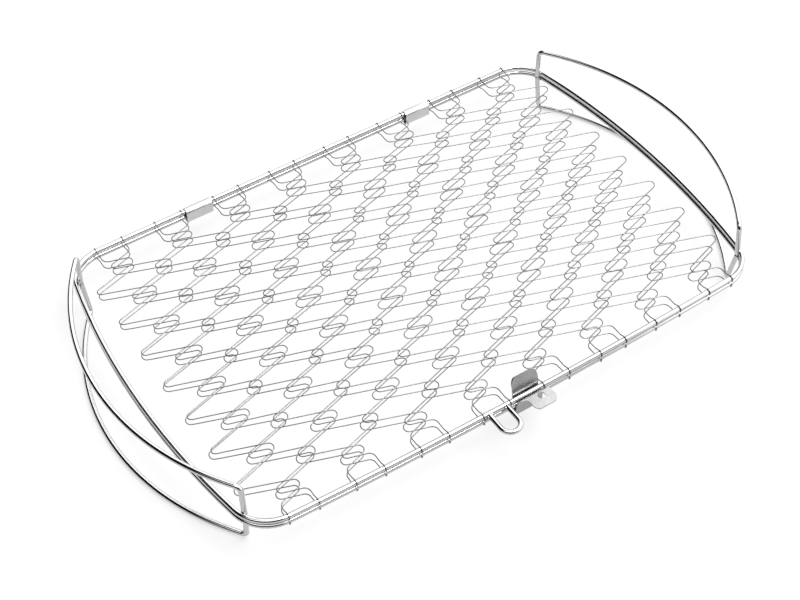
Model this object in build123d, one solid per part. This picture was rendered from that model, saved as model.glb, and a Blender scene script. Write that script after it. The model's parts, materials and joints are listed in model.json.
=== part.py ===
from build123d import *
import os
from math import atan, atan2, cos, radians, sin, sqrt, tan

os.makedirs("parts", exist_ok=True)

# A hinged grilling basket: two stacked rod frames, each strung with a mesh of
# interlocked zig-zag wires and carrying a wire handle at each end.
# +X runs along the long rails, -Y is the latch side, +Z is up. The origin is the
# bottom centre of the whole basket, which stands on its two lower handles.

# ---------------------------------------------------------------- dimensions
rod_d = 4.0                  # frames, handles and finger loop
wire_d = 0.8                 # mesh wires
sheet_t = 1.0                # latch clip

frame_half_length = 230.0    # rod centre at the middle of a bowed short side
back_rail_y = 148.7          # rod centre of the straight hinge rail
front_rail_y = 149.9         # rod centre at the middle of the bowed front rail
front_bow = 5.0              # how far the front rail's arc falls back at its ends
frame_corner_x = 213.8       # where a short side's arc would meet the long rails
frame_corner_r = 30.0
frame_stack = 5.2            # between the rod centres of the two frames

handle_x = 213.3             # top of a handle leg, from the middle of the basket
handle_y_upper = 125.7
handle_y_lower = 123.1
handle_reach = 255.5         # outermost rod centre of a handle bow
handle_rise = 28.7           # bow centre above or below the mid-plane
handle_corner_r = 4.5
foot_x = 214.2               # foot of a leg, welded inside the frame's round corner
foot_y = 127.8
foot_z = 0.7                 # foot centre, short of the mid-plane

pairs = 8                    # pairs of wires in one mesh
pair_pitch = 51.45
rows = 15                    # rows of interlocks between the rails
row_pitch = 17.98            # at the rails
row_gather = 2.6             # how much the slack mesh draws its rows together
hook_half = 11.4             # hook leg, from the middle of its pair
turn_r = 3.7                 # U-turn radius
run_slope = 17.5             # degrees between a run and the long rails
big_lap = 10.2               # how far a U-turn passes the middle of its own pair
big_lap_loss = 3.4           # taken off it towards the rails
small_lap = 3.2              # how far it passes the middle between two pairs
small_lap_gain = 2.5         # added to it towards the rails
small_lap_side_gain = 2.9    # added to it towards the short sides
free_lap = 2.7               # the same at the free edge, where nothing pulls it
stagger = 1.5                # two locked U-turns sit this far off each other in Y
leg_r = 5.0                  # bend from a hook leg into the first run
over_under_own = 0.45        # runs lie this far off the mesh plane, in a pair's lock
over_under_outer = 0.65      # and in the tighter lock between two pairs
flat_from = 14.5             # distance in X from a U-turn's corner to its flat runs
crossing_r = 60.0            # gentle bend where a run levels out
mesh_lift = 0.8              # mesh plane beyond the frame rod's centre, at the rails
mesh_bulge = 0.9             # and further out in the middle
skew = 2.2                   # the middle of a mesh is dragged along Y at the sides
lower_drift = -3.0           # the slack lower mesh has crept along X
lower_squeeze = 3.6
lower_lean = 2.3
hook_gap = 0.1               # between a hook and the rod inside it
hook_lead = 20.0             # degrees, the ramp up to the rod
hook_tail = 35.0             # degrees past the rod's outermost line
hook_kink_r = 2.0

clip_x = 2 * pair_pitch      # hinge clip centre, between two hooks
clip_length = 23.0
clip_t = 0.8                 # sheet
clip_gap = 0.1               # the loose sleeve hangs this close behind and over the rods
clip_slack = 1.4             # room left in front of the rods
clip_drop = 1.6              # how much taller it is than the two rods and that slack
clip_seam = 0.8

loop_x = -24.9
loop_width = 14.9            # between leg centres
loop_leg = 15.0              # rail centre to the middle of the round end

latch_left = -10.0
latch_right = 12.0
latch_gap = 0.3              # between a latch wall and the rods
latch_top = 18.5             # above the mid-plane
latch_crease = 11.5
latch_bottom = -12.0
latch_bend_r = 1.6
latch_corner_r = 6.0
thumb_lean = 6.8             # thumb tab's tip, inward of the rail centre
crease_lean = 3.7
tab_z = 4.8                  # sheet centre of the pull tab, above the mid-plane
tab_root = 4.2               # outward of the rail centre
tab_reach = 17.8
tab_left = -3.5
tab_right = 16.0
hole_d = 6.0
hole_x = 6.8
hole_reach = 8.6

# ------------------------------------------------------------------- derived
rod_r = rod_d / 2
wire_r = wire_d / 2
hook_r = rod_r + hook_gap + wire_r
mid_z = handle_rise + rod_r
front_reach = front_rail_y + loop_leg + loop_width / 2 + rod_r
back_reach = back_rail_y + hook_r + wire_r
mid_y = (front_reach - back_reach) / 2


def place(x, y, z):
    """A point given from the middle of the basket, in the basket's own frame."""
    return Vector(x, y + mid_y, z + mid_z)


def rod(path, diameter=rod_d):
    """Round rod or wire along a smooth path."""
    start = Plane(origin=path @ 0, z_dir=path % 0)
    return sweep(start * Circle(diameter / 2), path=path)


def save(solid, name):
    solid.label = name
    export_step(solid, f"parts/{name}.step")


# -------------------------------------------------------------------- frames
def frame_ring(level):
    """Closed rod ring: straight back rail, bowed front rail and short sides."""
    back_right = (frame_corner_x, back_rail_y)
    back_left = (-frame_corner_x, back_rail_y)
    front_right = (frame_corner_x, front_bow - front_rail_y)
    front_left = (-frame_corner_x, front_bow - front_rail_y)
    right = ThreePointArc(front_right, (frame_half_length, 0), back_right)
    back = Line(back_right, back_left)
    left = ThreePointArc(back_left, (-frame_half_length, 0), front_left)
    front = ThreePointArc(front_left, (0, -front_rail_y), front_right)
    outline = make_face([right, back, left, front])
    outline = fillet(outline.vertices(), frame_corner_r)
    path = outline.face().outer_wire()
    path = path.moved(Location(place(0, 0, level * frame_stack / 2)))
    return rod(path)


def front_rail_at(x):
    """How far in front of the middle the bowed front rail lies at x."""
    bow_r = (front_bow**2 + frame_corner_x**2) / (2 * front_bow)
    return front_rail_y - bow_r + sqrt(bow_r**2 - x**2)


# ------------------------------------------------------------------- handles
def handle(side, level, top_y):
    """Wire bow on two leaning legs: they stand on the frame, the bow reaches out."""
    depth = handle_reach - handle_x
    lead_in = 1.3 * handle_corner_r
    bow_r = (depth**2 + top_y**2 - lead_in**2) / (2 * depth)
    centre_x = handle_reach - bow_r
    end_angle = atan2(top_y, handle_x - centre_x) - atan(lead_in / bow_r)
    bow_x = centre_x + bow_r * cos(end_angle)
    bow_y = bow_r * sin(end_angle)
    bow_z = level * handle_rise

    def end(sign):
        """Leg foot, leg top and the start of the bow, at one end of the handle."""
        foot = place(side * foot_x, sign * foot_y, level * foot_z)
        top = place(side * handle_x, sign * top_y, bow_z)
        return foot, top, place(side * bow_x, sign * bow_y, bow_z)

    front, back = end(-1), end(1)
    path = Wire([
        *FilletPolyline(*front, radius=handle_corner_r).edges(),
        ThreePointArc(front[2], place(side * handle_reach, 0, bow_z), back[2]),
        *FilletPolyline(*reversed(back), radius=handle_corner_r).edges(),
    ])
    return rod(path)


# ---------------------------------------------------------------------- mesh
def hook(x, rail, level):
    """Hook round a rail's rod: its arc from tip to ramp, and where the ramp ends.

    v is the distance outward from the rod's centre, w the height beyond it.
    """
    rail_y = back_rail_y if rail > 0 else front_rail_at(x)

    def at(v, w):
        return place(x, rail * (rail_y + v), level * (frame_stack / 2 + w))

    def on_rod(degrees):
        angle = radians(degrees)
        return at(hook_r * cos(angle), hook_r * sin(angle))

    ramp_top = 90 + hook_lead
    arc_middle = (ramp_top - hook_tail) / 2
    lead = radians(hook_lead)
    ramp = (hook_r * cos(lead) - mesh_lift) / tan(lead)
    foot = at(-hook_r * sin(lead) - ramp, mesh_lift)
    return [on_rod(-hook_tail), on_rod(arc_middle), on_rod(ramp_top)], foot


def slack(x, y, level):
    """A point of the taut mesh, moved to where the slack middle has drawn it."""
    across = x / frame_half_length
    along = y / back_rail_y
    inward = 1 - along**2
    shift_x = 0.0
    if level < 0:
        shift_x = lower_drift - lower_squeeze * across + lower_lean * along
    shift_y = level * skew * across - row_gather * along
    return x + inward * shift_x, y + inward * shift_y


def flat_point(turn, bend):
    """Where the run from a U-turn's corner towards the next bend becomes flat."""
    part = flat_from / abs(bend[0] - turn[0])
    return turn[0] + part * (bend[0] - turn[0]), turn[1] + part * (bend[1] - turn[1])


def mesh_wire(number, level):
    """One zig-zag wire from the back rail to the front rail, with a hook at each end.

    Wires come in pairs. On odd rows the two wires of a pair lock into each other,
    on even rows a wire locks into its neighbour in the next pair. A run that goes
    right lies over the mesh plane and one that goes left lies under it, so every
    crossing passes over at one side of the lock and under at the other.
    """
    pair, second = divmod(number, 2)
    side = 1 if second else -1
    middle = (pair - (pairs - 1) / 2) * pair_pitch
    leg_x = middle + side * hook_half
    between = middle + side * pair_pitch / 2
    outermost = (pair == 0 and side < 0) or (pair == pairs - 1 and side > 0)
    slope = radians(run_slope)
    overrun = turn_r / sin(slope) - turn_r

    def corner(row):
        """The sharp corner that a row's U-turn is rounded from."""
        own = row % 2 == 0
        lock_x = middle if own else between
        heading = -side if own else side
        row_y = ((rows - 1) / 2 - row) * row_pitch
        along = (row_y / back_rail_y) ** 2
        across = (lock_x / frame_half_length) ** 2
        if own:
            lap = big_lap - big_lap_loss * along
        elif outermost:
            lap = free_lap
        else:
            lap = small_lap + small_lap_gain * along + small_lap_side_gain * across
        return slack(lock_x + heading * (lap + overrun), row_y - heading * stagger / 2, level)

    turns = [corner(row) for row in range(rows)]
    first, last = turns[0], turns[-1]
    back_bend = (leg_x, first[1] + abs(first[0] - leg_x) * tan(slope))
    front_bend = (leg_x, last[1] - abs(last[0] - leg_x) * tan(slope))
    bends = [back_bend, *turns, front_bend]
    points, radii = [], []

    def add(at, over, radius):
        x, y = at
        bulge = mesh_bulge * (1 - (y / back_rail_y) ** 2)
        points.append(place(x, y, level * (frame_stack / 2 + mesh_lift + bulge + over)))
        radii.append(radius)

    add(back_bend, -side * over_under_own, leg_r)
    for row, turn in enumerate(turns):
        before, after = bends[row], bends[row + 2]
        over = over_under_own if row % 2 == 0 else over_under_outer
        if turn[0] < before[0]:
            over = -over
        add(flat_point(turn, before), over, crossing_r)
        add(turn, 0, turn_r)
        add(flat_point(turn, after), -over, crossing_r)
    add(front_bend, side * over_under_own, leg_r)

    back_arc, back_foot = hook(leg_x, 1, level)
    front_arc, front_foot = hook(leg_x, -1, level)
    points = [back_arc[2], back_foot, *points, front_foot, front_arc[2]]
    radii = [hook_kink_r, *radii, hook_kink_r]
    runs = FilletPolyline(*points, radius=radii)
    path = Wire([ThreePointArc(*back_arc), *runs.edges(), ThreePointArc(*reversed(front_arc))])
    return rod(path, wire_d)


# --------------------------------------------------------------- hinge clips
def hinge_clip(side):
    """Loose sheet sleeve bent round both back rods, its seam on the outside."""
    inner = rod_r + clip_gap
    outer = inner + clip_t
    deep = 2 * inner + clip_slack
    tall = 2 * inner + frame_stack + clip_drop
    section = RectangleRounded(deep + 2 * clip_t, tall + 2 * clip_t, outer)
    section -= RectangleRounded(deep, tall, inner)
    section = Pos(-clip_slack / 2, -clip_drop / 2) * section
    section -= Pos(outer, -frame_stack / 2) * Rectangle(outer, clip_seam)
    at = Plane(origin=place(0, back_rail_y, 0), x_dir=(0, 1, 0), z_dir=(1, 0, 0))
    sleeve = extrude(at * section, clip_length / 2, both=True)
    return sleeve.moved(Location((side * clip_x, 0, 0)))


# --------------------------------------------------------------- finger loop
def finger_loop(frame):
    """U of rod welded end-on to the outside of the upper front rail."""
    z = frame_stack / 2
    half = loop_width / 2
    rail_y = -front_rail_y
    turn_y = rail_y - loop_leg
    path = Wire([
        Line(place(loop_x - half, rail_y, z), place(loop_x - half, turn_y, z)),
        ThreePointArc(
            place(loop_x - half, turn_y, z),
            place(loop_x, turn_y - half, z),
            place(loop_x + half, turn_y, z),
        ),
        Line(place(loop_x + half, turn_y, z), place(loop_x + half, rail_y, z)),
    ])
    inner_half = Pos(place(loop_x, rail_y + rod_r, z)) * Box(3 * loop_width, rod_d, 2 * rod_d)
    return rod(path) - frame - inner_half


# ---------------------------------------------------------------- latch clip
def latch_clip():
    """Bent sheet: thumb tab and inner wall, a U under the rods, outer wall, pull tab."""
    wall = rod_r + latch_gap + sheet_t / 2
    lower_rod = -frame_stack / 2
    centre_line = FilletPolyline(
        (-thumb_lean, latch_top),
        (-crease_lean, latch_crease),
        (-wall, frame_stack),
        (-wall, latch_bottom),
        (wall, latch_bottom),
        (wall, lower_rod + rod_r),
        (tab_root, tab_z),
        (tab_reach, tab_z),
        radius=[4.0, 20.0, wall - 0.05, wall - 0.05, 6.0, latch_bend_r],
    )
    section = trace(centre_line, line_width=sheet_t)
    at = Plane(origin=place(0, -front_rail_y, 0), x_dir=(0, -1, 0), z_dir=(-1, 0, 0))
    width = tab_right - latch_left
    sheet = extrude(at * section, -tab_right)
    sheet += extrude(at * section, -latch_left)
    tall = 3 * latch_top

    # plan outline: walls as wide as the latch, then the narrower tab set to the right
    neck = tab_root + 0.6
    edge = FilletPolyline(
        (latch_left, -tall),
        (latch_left, neck),
        (tab_left, neck + 2.0),
        (tab_left, tab_reach + sheet_t / 2),
        (tab_right, tab_reach + sheet_t / 2),
        (tab_right, neck + 1.0),
        (latch_right, neck - 1.0),
        (latch_right, -tall),
        radius=[2.6, 3.0, 5.5, 6.5, 1.6, 1.6],
    )
    outline = make_face([edge, Line((latch_right, -tall), (latch_left, -tall))])
    plan = Plane(origin=place(0, -front_rail_y, 0), x_dir=(1, 0, 0), z_dir=(0, 0, -1))
    sheet &= extrude(plan * outline, tall, both=True)

    # thumb tab: round top corners
    for side_x, way in ((latch_left, 1), (latch_right, -1)):
        corner = Pos(way * latch_corner_r / 2, -latch_corner_r / 2)
        cut = corner * Rectangle(latch_corner_r, latch_corner_r)
        cut -= Pos(way * latch_corner_r, -latch_corner_r) * Circle(latch_corner_r)
        face_on = Plane(
            origin=place(side_x, -front_rail_y, latch_top + sheet_t / 2),
            x_dir=(1, 0, 0),
            z_dir=(0, -1, 0),
        )
        sheet -= extrude(face_on * cut, width, both=True)

    hole_at = place(hole_x, -front_rail_y - hole_reach, tab_z)
    return sheet - Pos(hole_at) * Cylinder(hole_d / 2, 4 * sheet_t)


# ------------------------------------------------------------------ assembly
level_name = {1: "upper", -1: "lower"}
side_name = {-1: "left", 1: "right"}
handle_top_y = {1: handle_y_upper, -1: handle_y_lower}

for level, level_word in level_name.items():
    ring = frame_ring(level)
    save(ring, f"{level_word}_frame")
    for side, side_word in side_name.items():
        bow = handle(side, level, handle_top_y[level])
        save(bow - ring, f"{level_word}_{side_word}_handle")
    for number in range(2 * pairs):
        save(mesh_wire(number, level), f"{level_word}_mesh_wire_{number + 1:02d}")
    if level > 0:
        save(finger_loop(ring), "finger_loop")

for side, side_word in side_name.items():
    save(hinge_clip(side), f"{side_word}_hinge_clip")

save(latch_clip(), "latch_clip")
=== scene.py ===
import json
import math

import bmesh
import bpy
from mathutils import Matrix, Vector, noise


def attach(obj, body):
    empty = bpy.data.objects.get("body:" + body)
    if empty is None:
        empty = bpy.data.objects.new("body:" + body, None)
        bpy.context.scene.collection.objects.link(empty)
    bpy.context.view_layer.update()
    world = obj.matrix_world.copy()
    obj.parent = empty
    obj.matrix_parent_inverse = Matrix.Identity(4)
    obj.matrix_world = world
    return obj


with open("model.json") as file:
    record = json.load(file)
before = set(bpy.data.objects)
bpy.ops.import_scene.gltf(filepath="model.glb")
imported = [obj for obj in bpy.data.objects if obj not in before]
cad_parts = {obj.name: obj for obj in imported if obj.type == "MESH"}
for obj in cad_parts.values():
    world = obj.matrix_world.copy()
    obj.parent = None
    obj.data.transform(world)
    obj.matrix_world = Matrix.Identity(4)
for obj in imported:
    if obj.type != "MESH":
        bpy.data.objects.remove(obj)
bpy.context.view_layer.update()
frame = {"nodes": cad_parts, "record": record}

MM = 0.001
scene = bpy.context.scene

# ------------------------------------------------------------------ camera
CAMERA_ELEVATION = 47.678    # degrees above the floor
CAMERA_AZIMUTH = -31.546     # degrees round +Z from the front
CAMERA_ROLL = -1.928
CAMERA_DISTANCE = 1158.1 * MM
CAMERA_LENS = 69.91          # mm, on a 36 mm wide sensor
CAMERA_TARGET = (-23.66 * MM, -11.8 * MM, 30.7 * MM)

# ------------------------------------------------------------------- welds
MID_Y = 11.375 * MM          # the middle between the rails, in the row frame
MID_Z = 30.7 * MM            # the mid-plane between the two frames
LEG_WELD = (215.6 * MM, 128.4 * MM, 3.6 * MM)    # from the middle of the basket
LEG_BEAD = (3.0 * MM, 1.25 * MM, 1.15 * MM)      # half sizes of a bead
LEG_OUTWARD = {"front": (0.94, 0.34), "back": (0.938, 0.347)}    # from a corner's centre
LOOP_LEGS = (-32.35 * MM, -17.45 * MM)
LOOP_WELD_OFFSETS = {"a": -1.9, "b": 1.9}        # mm, to both sides of a leg
LOOP_FOOT_Y = MID_Y - 152.0 * MM
LOOP_Z = 2.6 * MM
LOOP_BEAD = (1.5 * MM, 0.8 * MM, 1.5 * MM)

# ------------------------------------------------------------------- sheet
LATCH_EDGE = 0.22 * MM       # how far the tumbled edges are rounded
HINGE_EDGE = 0.15 * MM


def make_camera():
    """Camera at the angles above, looking at its target and rolled about its own axis."""
    az, el, roll = (math.radians(a) for a in (CAMERA_AZIMUTH, CAMERA_ELEVATION, CAMERA_ROLL))
    back = Vector((math.sin(az) * math.cos(el), -math.cos(az) * math.cos(el), math.sin(el)))
    right = Vector((math.cos(az), math.sin(az), 0))
    up = back.cross(right)
    rolled_right = math.cos(roll) * right + math.sin(roll) * up
    rolled_up = -math.sin(roll) * right + math.cos(roll) * up
    position = Vector(CAMERA_TARGET) + back * CAMERA_DISTANCE
    data = bpy.data.cameras.new("camera")
    data.sensor_width = 36
    data.lens = CAMERA_LENS
    data.clip_end = 50
    camera = bpy.data.objects.new("camera", data)
    turn = Matrix((rolled_right, rolled_up, back)).transposed().to_4x4()
    camera.matrix_world = Matrix.Translation(position) @ turn
    scene.collection.objects.link(camera)
    scene.camera = camera


# ------------------------------------------------------------ node helpers
class Nodes:
    """Short calls for building one node tree."""

    def __init__(self, tree):
        self.tree = tree
        tree.nodes.clear()

    def add(self, kind, inputs=None, **settings):
        node = self.tree.nodes.new(kind)
        for key, value in settings.items():
            setattr(node, key, value)
        for key, value in (inputs or {}).items():
            self.feed(node.inputs[key], value)
        return node

    def feed(self, socket, value):
        if isinstance(value, bpy.types.NodeSocket):
            self.tree.links.new(value, socket)
        else:
            socket.default_value = value

    def math(self, operation, a, b=0.0, c=0.0, clamp=False):
        node = self.add("ShaderNodeMath", operation=operation, use_clamp=clamp)
        for socket, value in zip(node.inputs, (a, b, c)):
            self.feed(socket, value)
        return node.outputs[0]

    def ramp(self, value, low, high, to_low=0.0, to_high=1.0):
        node = self.add(
            "ShaderNodeMapRange",
            {"Value": value, "From Min": low, "From Max": high, "To Min": to_low, "To Max": to_high},
            interpolation_type="SMOOTHSTEP",
        )
        return node.outputs["Result"]

    def noise(self, vector, scale, detail=2.0, rough=0.5):
        node = self.add(
            "ShaderNodeTexNoise",
            {"Vector": vector, "Scale": scale, "Detail": detail, "Roughness": rough},
        )
        return node.outputs["Fac"]

    def stretched(self, vector, x, y, z):
        node = self.add("ShaderNodeVectorMath", {0: vector, 1: (x, y, z)}, operation="MULTIPLY")
        return node.outputs[0]

    def mix_colour(self, factor, a, b):
        node = self.add("ShaderNodeMix", data_type="RGBA")
        self.feed(node.inputs[0], factor)
        self.feed(node.inputs[6], a)
        self.feed(node.inputs[7], b)
        return node.outputs[2]


def grey(value, warmth=0.0):
    """A grey with a little more red than blue."""
    return (value * (1 + warmth), value, value * (1 - warmth), 1.0)


# --------------------------------------------------------------- materials
def steel(name, tone, dark_tone, roughness, spread, grain, grain_depth):
    """Stainless steel, smeared between two tones, its roughness within spread of roughness.

    grain is how dense its fine lines are along X, Y and Z, per metre.
    """
    material = bpy.data.materials.new(name)
    material.use_nodes = True
    n = Nodes(material.node_tree)
    where = n.add("ShaderNodeTexCoord").outputs["Object"]
    smear = n.noise(where, 38.0, 3.0, 0.6)
    fine = n.noise(where, 900.0, 2.0, 0.6)
    lines = n.noise(n.stretched(where, *grain), 1.0, 3.0, 0.55)
    shade = n.math("MULTIPLY_ADD", fine, 0.45, n.math("MULTIPLY", smear, 0.55))
    colour = n.mix_colour(n.ramp(shade, 0.3, 0.7), dark_tone, tone)
    rough_mix = n.math("MULTIPLY_ADD", lines, 0.6, n.math("MULTIPLY", smear, 0.4))
    rough = n.ramp(rough_mix, 0.25, 0.75, roughness - spread, roughness + spread)
    bump = n.add(
        "ShaderNodeBump",
        {"Height": lines, "Strength": grain_depth, "Distance": 0.00004},
    )
    shader = n.add(
        "ShaderNodeBsdfPrincipled",
        {"Base Color": colour, "Roughness": rough, "Metallic": 1.0, "Normal": bump.outputs[0]},
    )
    output = n.add("ShaderNodeOutputMaterial")
    n.tree.links.new(shader.outputs[0], output.inputs[0])
    return material


def dress(node, material):
    """Gives a CAD node's own material slots the finished material."""
    data = frame["nodes"][node].data
    if not data.materials:
        data.materials.append(material)
    for index in range(len(data.materials)):
        data.materials[index] = material


def make_materials():
    """One finish for each of the record's material slots."""
    rod_tones = (grey(0.56, 0.004), grey(0.45, 0.006))
    wire_tones = (grey(0.20, 0.004), grey(0.12, 0.006))
    hinge_tones = ((0.60, 0.60, 0.62, 1.0), (0.50, 0.50, 0.52, 1.0))
    latch_tones = (grey(0.38, 0.002), grey(0.26, 0.004))
    made = {
        "frame_rod": steel("frame_rod_steel", *rod_tones, 0.07, 0.03, (90, 90, 2600), 0.12),
        "handle_rod": steel("handle_rod_steel", *rod_tones, 0.07, 0.03, (2600, 90, 2600), 0.12),
        "mesh_wire": steel("mesh_wire_steel", *wire_tones, 0.12, 0.05, (1500, 1500, 1500), 0.15),
        "hinge_sheet": steel("hinge_sheet_steel", *hinge_tones, 0.30, 0.08, (40, 3500, 3500), 0.35),
        "latch_sheet": steel("latch_sheet_steel", *latch_tones, 0.31, 0.08, (60, 3500, 3500), 0.35),
    }
    for part in frame["record"]["subparts"]:
        dress(part["node"], made[part["material_slot"]])


# ------------------------------------------------------------ sheet edges
def soften(node, width):
    """Rounds the cut edges of a sheet piece, which are tumbled smooth."""
    piece = frame["nodes"][node]
    weld = piece.modifiers.new("weld", "WELD")
    weld.merge_threshold = 0.00001
    bevel = piece.modifiers.new("edges", "BEVEL")
    bevel.width = width
    bevel.segments = 2
    bevel.limit_method = "ANGLE"
    bevel.angle_limit = math.radians(50)


# ------------------------------------------------------------- weld beads
def weld_bead(name, body, centre, along, half_sizes, seed, material):
    """Small lumpy bead with ripples across it. along is its long direction in plan."""
    shape = bmesh.new()
    bmesh.ops.create_icosphere(shape, subdivisions=4, radius=1.0)
    for vertex in shape.verts:
        way = vertex.co.copy()
        ripple = 0.07 * math.sin(9.0 * way.x + seed)
        lump = 0.16 * noise.noise(way * 1.6 + Vector((seed * 3.1, 0, 0)))
        vertex.co = way * (1 + ripple * (1 - way.x**2) + lump)
    mesh = bpy.data.meshes.new(name)
    shape.to_mesh(mesh)
    shape.free()
    x_way = Vector(along).normalized()
    z_way = Vector((0, 0, 1))
    turn = Matrix((x_way, z_way.cross(x_way), z_way)).transposed().to_4x4()
    mesh.transform(Matrix.Translation(centre) @ turn @ Matrix.Diagonal((*half_sizes, 1)))
    for face in mesh.polygons:
        face.use_smooth = True
    bead = bpy.data.objects.new(name, mesh)
    scene.collection.objects.link(bead)
    bead.data.materials.append(material)
    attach(bead, body)


def make_welds():
    """Beads at the feet of the handle legs and at the ends of the finger loop."""
    tones = (grey(0.40, 0.01), grey(0.22, 0.03))
    material = steel("weld_bead_steel", *tones, 0.24, 0.08, (900, 900, 900), 0.5)
    x, y, z = LEG_WELD
    for body, level in (("upper_half", 1), ("lower_half", -1)):
        for side, side_word in ((-1, "left"), (1, "right")):
            for end, end_word in ((-1, "front"), (1, "back")):
                out_x, out_y = LEG_OUTWARD[end_word]
                weld_bead(
                    f"{body}_weld_{side_word}_{end_word}",
                    body,
                    Vector((side * x, MID_Y + end * y, MID_Z + level * z)),
                    (-end * out_y, side * out_x, 0),
                    LEG_BEAD,
                    1.7 + side + 2.3 * end + 0.6 * level,
                    material,
                )
    for number, leg_x in enumerate(LOOP_LEGS):
        for word, offset in LOOP_WELD_OFFSETS.items():
            weld_bead(
                f"finger_loop_weld_{number + 1}{word}",
                "upper_half",
                Vector((leg_x + offset * MM, LOOP_FOOT_Y, MID_Z + LOOP_Z)),
                (0, 1, 0),
                LOOP_BEAD,
                4.0 + number + offset,
                material,
            )


# ------------------------------------------------------------------ studio
def make_world():
    """What the steel mirrors: bright overhead and right, black left, grey in front."""
    world = bpy.data.worlds.new("studio")
    scene.world = world
    world.use_nodes = True
    n = Nodes(world.node_tree)
    direction = n.add("ShaderNodeTexCoord").outputs["Generated"]
    parts = n.add("ShaderNodeSeparateXYZ", {0: direction})
    across, along, height = parts.outputs["X"], parts.outputs["Y"], parts.outputs["Z"]
    # the overhead light reaches lower at the back than at the front
    tilted = n.math("MULTIPLY_ADD", along, 0.1, height)
    overhead = n.ramp(tilted, 0.64, 0.72)
    # the right side is bright down to the floor, the left side is black up to the top
    right = n.math("MULTIPLY", n.ramp(across, 0.44, 0.56), n.ramp(height, 0.0, 0.06))
    dark = n.ramp(across, 0.0, -0.12)
    shaded = n.math("MULTIPLY", dark, n.ramp(along, -0.1, 0.15))
    overhead = n.math("MULTIPLY", overhead, n.math("SUBTRACT", 1.0, shaded))
    bright = n.math("MAXIMUM", overhead, right)
    horizon = n.math("MULTIPLY", n.ramp(height, -0.02, 0.02), n.ramp(height, 0.16, 0.1))
    front = n.mix_colour(horizon, grey(0.74), grey(0.42))
    low = n.mix_colour(dark, front, grey(0.004))
    studio = n.mix_colour(bright, low, grey(2.4))
    seen = n.add("ShaderNodeLightPath").outputs["Is Camera Ray"]
    colour = n.mix_colour(seen, studio, grey(0.93))
    background = n.add("ShaderNodeBackground", {"Color": colour, "Strength": 1.0})
    output = n.add("ShaderNodeOutputWorld")
    n.tree.links.new(background.outputs[0], output.inputs[0])


def make_floor():
    """Plain pale floor, just under the feet, lit from itself so that shadows stay faint."""
    size = 8.0
    height = -0.3 * MM
    mesh = bpy.data.meshes.new("floor")
    corners = [(-size, -size), (size, -size), (size, size), (-size, size)]
    mesh.from_pydata([(x, y, height) for x, y in corners], [], [(0, 1, 2, 3)])
    floor = bpy.data.objects.new("floor", mesh)
    scene.collection.objects.link(floor)
    material = bpy.data.materials.new("floor_white")
    material.use_nodes = True
    n = Nodes(material.node_tree)
    matte = n.add("ShaderNodeBsdfDiffuse", {"Color": grey(0.20)})
    glow = n.add("ShaderNodeEmission", {"Color": grey(1.0), "Strength": 0.66})
    both = n.add("ShaderNodeAddShader", {0: matte.outputs[0], 1: glow.outputs[0]})
    output = n.add("ShaderNodeOutputMaterial")
    n.tree.links.new(both.outputs[0], output.inputs[0])
    mesh.materials.append(material)


def softbox(name, position, target, size, power):
    """Rectangular area light that faces target."""
    data = bpy.data.lights.new(name, "AREA")
    data.shape = "RECTANGLE"
    data.size, data.size_y = size
    data.energy = power
    light = bpy.data.objects.new(name, data)
    light.location = position
    aim = Vector(target) - Vector(position)
    light.rotation_euler = aim.to_track_quat("-Z", "Y").to_euler()
    scene.collection.objects.link(light)


make_camera()
make_materials()
soften("latch_clip", LATCH_EDGE)
soften("left_hinge_clip", HINGE_EDGE)
soften("right_hinge_clip", HINGE_EDGE)
make_welds()
make_world()
make_floor()
softbox("key", (0.55, -0.62, 2.2), (0, 0, 0), (1.4, 1.0), 46.0)
scene.view_settings.view_transform = "Standard"
